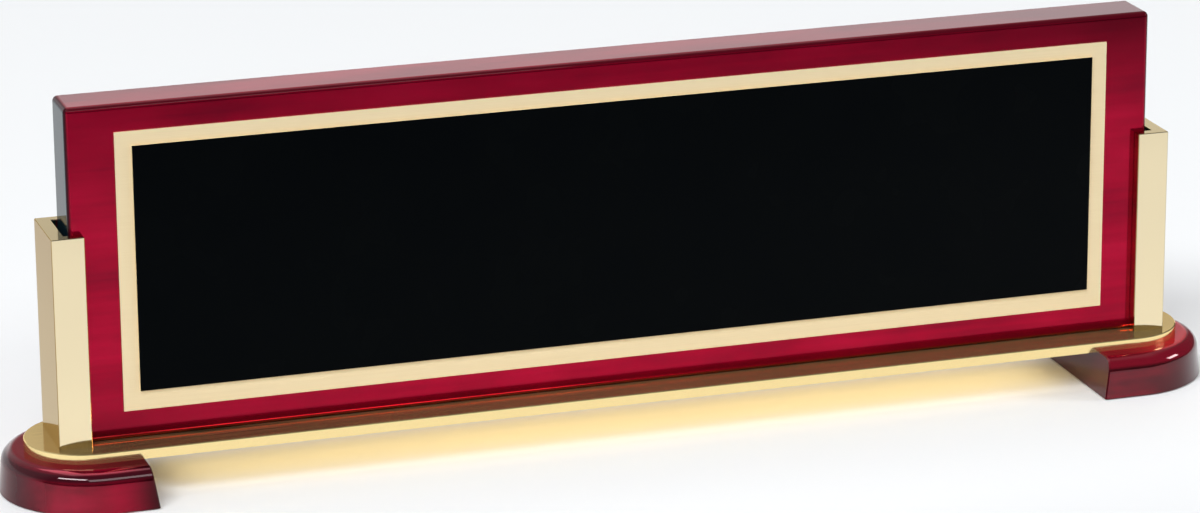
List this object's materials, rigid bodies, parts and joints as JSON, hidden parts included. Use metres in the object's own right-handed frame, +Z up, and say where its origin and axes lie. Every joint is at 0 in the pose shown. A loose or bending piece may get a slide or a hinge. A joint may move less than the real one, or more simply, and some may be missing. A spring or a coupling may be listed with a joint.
{
  "type": "desk name plate",
  "caption": "Desk name plate: a gloss-lacquered board with a brass-bordered black engraving plate, lifted in and out of slotted gold posts on a flat bar with half-round wooden feet.",
  "frame": {"origin": "on the desk, under the middle of the base bar", "axes": "+X along the board to the viewer's right, +Y towards the back, +Z up; the plates face -Y"},
  "size_m": [0.2864, 0.042, 0.0881],
  "materials": {
    "rosewood_lacquer": "dyed rosewood under a polished clear piano lacquer",
    "gold_plate": "polished gold plate",
    "brass_sheet": "satin lacquered sheet",
    "black_lacquer": "black lacquer on brass",
    "adhesive_film": "thin transfer film",
    "felt": "pressed black felt",
    "zinc_steel": "bright zinc plate"
  },
  "bodies": {
    "stand": {"base_bar": "gold_plate", "left_post": "gold_plate", "left_foot": "rosewood_lacquer", "left_felt_pad": "felt", "left_front_screw": "zinc_steel", "left_front_washer": "zinc_steel", "left_rear_screw": "zinc_steel", "left_rear_washer": "zinc_steel", "right_post": "gold_plate", "right_foot": "rosewood_lacquer", "right_felt_pad": "felt", "right_front_screw": "zinc_steel", "right_front_washer": "zinc_steel", "right_rear_screw": "zinc_steel", "right_rear_washer": "zinc_steel"},
    "board": {"name_board": "rosewood_lacquer", "border_plate_tape": "adhesive_film", "border_plate": "brass_sheet", "engraving_plate_tape": "adhesive_film", "engraving_plate": "black_lacquer"}
  },
  "joints": [
    {"name": "board_lift", "type": "slide", "parent": "stand", "child": "board", "axis": [0, 0, 1], "range_m": [0, 0.06]}
  ]
}
